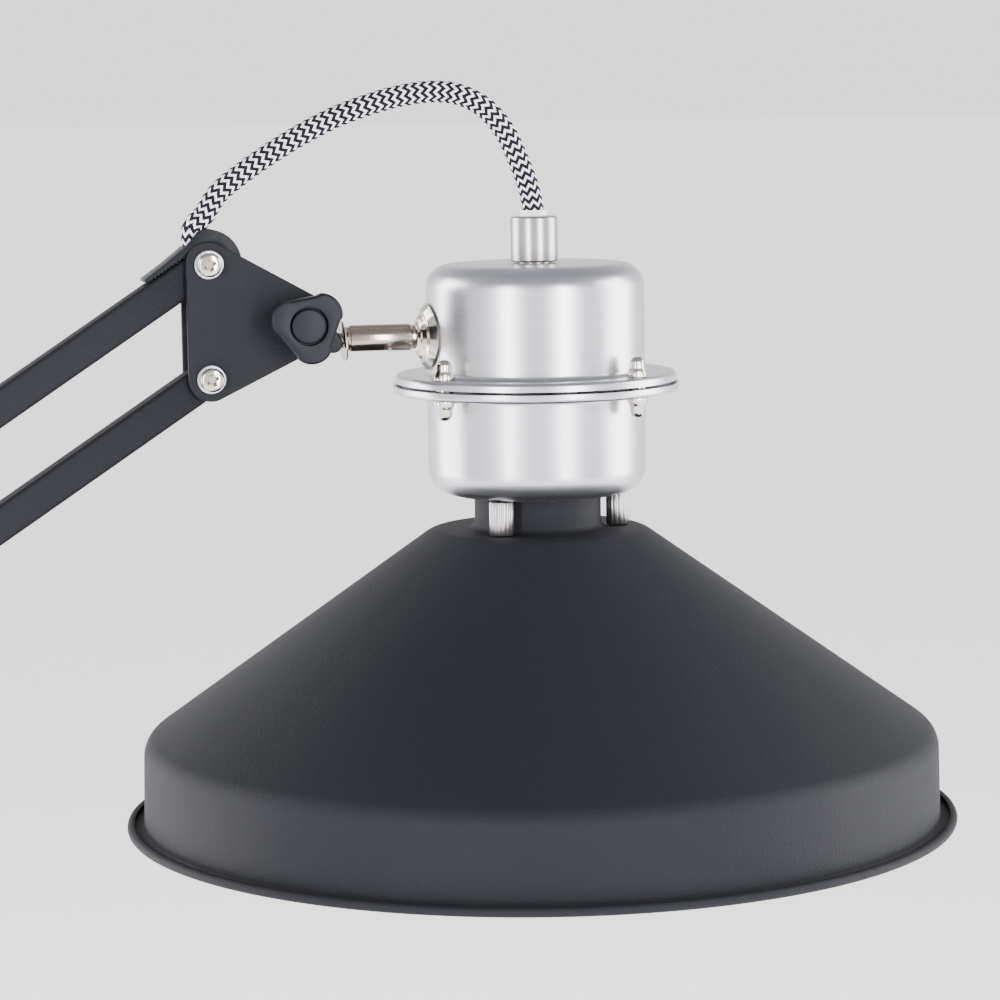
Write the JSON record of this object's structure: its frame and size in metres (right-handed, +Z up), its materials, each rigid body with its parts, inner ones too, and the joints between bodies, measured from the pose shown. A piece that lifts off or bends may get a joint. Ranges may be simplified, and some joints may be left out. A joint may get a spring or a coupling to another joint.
{
  "type": "desk lamp",
  "caption": "Swing arm desk lamp with a weighted round base, parallel square-tube arms, a two-part metal lamp housing, a wide conical shade and a textile flex loop.",
  "frame": {"origin": "centre of the base's underside, on the desk", "axes": "+Z up, +X from the base towards the lamp head, arms swing in the XZ plane"},
  "size_m": [0.5456, 0.3645, 0.6865],
  "materials": {
    "powder_black": "matte powder coat with a fine grain",
    "nickel": "bright nickel plate",
    "satin_nickel": "satin nickel",
    "brushed_aluminium": "spun and brushed",
    "black_plastic": "fine matte moulding",
    "textile_flex": "black and white zigzag braid",
    "spring_steel": "zinc plated wire",
    "cast_iron": "as cast",
    "rubber_pad": "matte foam rubber",
    "opal_glass": "opal"
  },
  "bodies": {
    "base": {"base_pad": "rubber_pad", "base_weight": "cast_iron", "base_cover": "powder_black", "stem_socket": "powder_black", "base_gland": "black_plastic", "mains_lead": "textile_flex", "lead_coil": "textile_flex", "plug": "black_plastic", "switch_housing": "black_plastic"},
    "rocker": {"switch_rocker": "black_plastic"},
    "stem": {"swivel_block": "powder_black", "bracket_plate_front": "powder_black", "bracket_plate_back": "powder_black", "bracket_screw_left": "nickel", "bracket_screw_right": "nickel", "lower_spring_front": "spring_steel", "lower_spring_back": "spring_steel"},
    "lower_bar": {"lower_bar": "powder_black", "lower_spring_pin": "nickel"},
    "lower_link": {"lower_link": "powder_black"},
    "elbow": {"elbow_plate_front": "powder_black", "elbow_plate_back": "powder_black", "elbow_screw_left": "nickel", "elbow_screw_right": "nickel", "elbow_screw_low": "nickel", "elbow_screw_top": "nickel", "upper_spring": "spring_steel", "elbow_flex": "textile_flex"},
    "upper_bar": {"upper_bar": "powder_black", "upper_spring_pin": "nickel", "cable_guide": "black_plastic", "head_flex_arm": "textile_flex"},
    "upper_link": {"upper_link": "powder_black"},
    "head_plates": {"head_plate_front": "powder_black", "head_plate_back": "powder_black", "head_screw_top": "nickel", "head_screw_bottom": "nickel", "tilt_bolt": "nickel"},
    "knob": {"tilt_knob": "black_plastic", "knob_cap": "black_plastic"},
    "tilt_block": {"tilt_block": "black_plastic", "swivel_washer": "nickel", "head_flex_middle": "textile_flex"},
    "head": {"swivel_tube": "nickel", "saddle_washer": "nickel", "cup_nut": "nickel", "upper_cup": "brushed_aluminium", "lower_cup": "brushed_aluminium", "flange_stud_1": "nickel", "flange_stud_2": "nickel", "flange_stud_3": "nickel", "flange_stud_4": "nickel", "cable_gland": "satin_nickel", "lampholder": "black_plastic", "shade": "powder_black", "standoff_1": "nickel", "standoff_2": "nickel", "standoff_3": "nickel", "bulb": "opal_glass", "head_flex_head": "textile_flex"}
  },
  "joints": [
    {"name": "base_swivel", "type": "hinge", "parent": "base", "child": "stem", "pos_m": [0, 0, 0.047], "axis": [0, 0, 1], "range_deg": [-170, 170]},
    {"name": "switch_rock", "type": "hinge", "parent": "base", "child": "rocker", "pos_m": [0, -0.072, 0.0165], "axis": [0, -1, 0], "range_deg": [0, 10]},
    {"name": "lower_arm_tilt", "type": "hinge", "parent": "stem", "child": "lower_bar", "pos_m": [-0.01675, 0, 0.062], "axis": [0, -1, 0], "range_deg": [-52, 28], "deforming": ["lower_spring_front", "lower_spring_back"]},
    {"name": "lower_link_tilt", "type": "hinge", "parent": "stem", "child": "lower_link", "pos_m": [0.01675, 0, 0.062], "axis": [0, -1, 0], "range_deg": [-52, 28]},
    {"name": "elbow_pivot", "type": "hinge", "parent": "lower_bar", "child": "elbow", "pos_m": [-0.14412, 0, 0.37724], "axis": [0, -1, 0], "range_deg": [-28, 52]},
    {"name": "upper_arm_tilt", "type": "hinge", "parent": "elbow", "child": "upper_bar", "pos_m": [-0.12737, 0, 0.44874], "axis": [0, -1, 0], "range_deg": [-63, 32], "deforming": ["upper_spring", "elbow_flex"]},
    {"name": "upper_link_tilt", "type": "hinge", "parent": "elbow", "child": "upper_link", "pos_m": [-0.12737, 0, 0.41524], "axis": [0, -1, 0], "range_deg": [-63, 32]},
    {"name": "head_plate_pivot", "type": "hinge", "parent": "upper_bar", "child": "head_plates", "pos_m": [0.15746, 0, 0.63442], "axis": [0, -1, 0], "range_deg": [-32, 63], "deforming": ["head_flex_arm"]},
    {"name": "knob_turn", "type": "hinge", "parent": "head_plates", "child": "knob", "pos_m": [0.18446, 0, 0.61652], "axis": [0, -1, 0], "range_deg": [0, 270]},
    {"name": "head_tilt", "type": "hinge", "parent": "head_plates", "child": "tilt_block", "pos_m": [0.18446, 0, 0.61652], "axis": [0, -1, 0], "range_deg": [-30, 40], "deforming": ["head_flex_middle"]},
    {"name": "head_swivel", "type": "hinge", "parent": "tilt_block", "child": "head", "pos_m": [0.25676, 0, 0.61102], "axis": [1, 0, 0], "range_deg": [-60, 60], "deforming": ["head_flex_head"]}
  ],
  "couplings": [
    {"joint": "lower_link_tilt", "follows": "lower_arm_tilt", "ratio": 1},
    {"joint": "elbow_pivot", "follows": "lower_arm_tilt", "ratio": -1},
    {"joint": "upper_link_tilt", "follows": "upper_arm_tilt", "ratio": 1},
    {"joint": "head_plate_pivot", "follows": "upper_arm_tilt", "ratio": -1}
  ]
}
